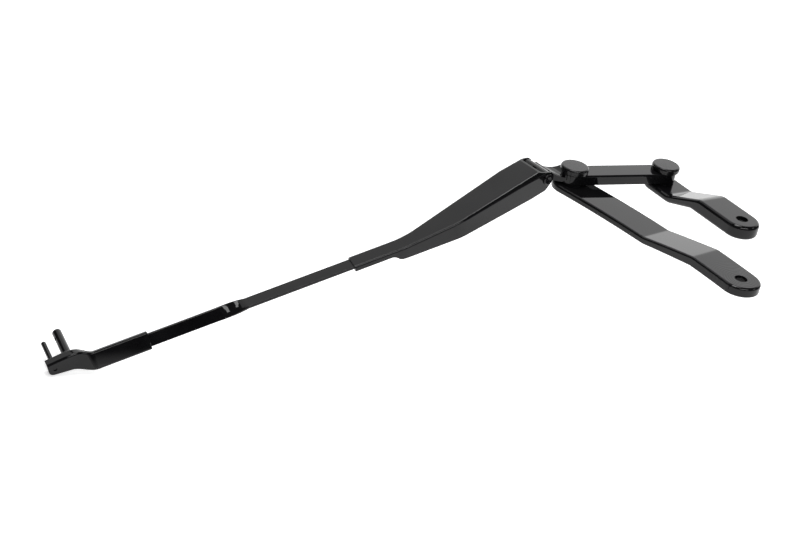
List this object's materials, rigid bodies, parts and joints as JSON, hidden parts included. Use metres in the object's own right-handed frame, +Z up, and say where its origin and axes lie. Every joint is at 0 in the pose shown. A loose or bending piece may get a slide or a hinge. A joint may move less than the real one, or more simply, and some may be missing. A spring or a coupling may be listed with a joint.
{
  "type": "wiper arm",
  "caption": "Wiper arm on a parallel-lever linkage: cranked levers and a coupler carry a spring-loaded folding arm with a twisted flat rod and side pins for a blade.",
  "frame": {"origin": "centre of the drive spindle's bore, on its top face", "axes": "+Z up along both spindles, Y along the arm's hinge, -X towards the blade end of the arm"},
  "size_m": [0.5639, 0.345, 0.1532],
  "materials": {
    "black_paint": "gloss black paint",
    "cap_plastic": "satin moulded plastic",
    "bearing_plastic": "plain moulded plastic",
    "steel": "plain turned steel",
    "bronze": "sintered bronze",
    "spring_steel": "zinc-plated wire"
  },
  "bodies": {
    "drive_arm": {"drive_arm": "black_paint", "drive_pivot_pin": "steel", "drive_thrust_washer": "bearing_plastic", "drive_top_washer": "steel", "drive_retaining_ring": "steel"},
    "coupler": {"coupler": "black_paint", "drive_pivot_bush": "bronze", "guide_pivot_bush": "bronze", "drive_pivot_cap": "cap_plastic", "guide_pivot_cap": "cap_plastic", "hinge_bush_near": "bronze", "hinge_bush_far": "bronze", "hook_pin": "steel"},
    "guide_arm": {"guide_arm": "black_paint", "guide_pivot_pin": "steel", "guide_thrust_washer": "bearing_plastic", "guide_top_washer": "steel", "guide_retaining_ring": "steel"},
    "wiper_arm": {"arm_channel": "black_paint", "hinge_pin": "black_paint", "spring_anchor": "black_paint", "flat_rod": "black_paint", "end_fitting": "black_paint", "small_blade_pin": "black_paint", "large_blade_pin": "black_paint"},
    "spring_link": {"spring_link": "steel", "tension_spring": "spring_steel"}
  },
  "joints": [
    {"name": "coupler_pivot", "type": "hinge", "parent": "drive_arm", "child": "coupler", "pos_m": [0.00104, 0.199, -0.008], "axis": [0, 0, 1], "range_deg": [-5, 40]},
    {"name": "guide_pivot", "type": "hinge", "parent": "coupler", "child": "guide_arm", "pos_m": [0.08872, 0.16983, -0.008], "axis": [0, 0, 1], "range_deg": [-12, 60]},
    {"name": "arm_fold", "type": "hinge", "parent": "coupler", "child": "wiper_arm", "pos_m": [-0.02816, 0.216, -0.004], "axis": [0, 1, 0], "range_deg": [0, 85], "stiffness_Nm_per_rad": 0.3, "springref_deg": -85.94, "deforming": ["tension_spring"]},
    {"name": "link_swing", "type": "hinge", "parent": "coupler", "child": "spring_link", "pos_m": [-0.03316, 0.216, -0.011], "axis": [0, 1, 0], "range_deg": [0, 87]}
  ],
  "couplings": [
    {"joint": "link_swing", "follows": "arm_fold", "ratio": 1.02}
  ]
}
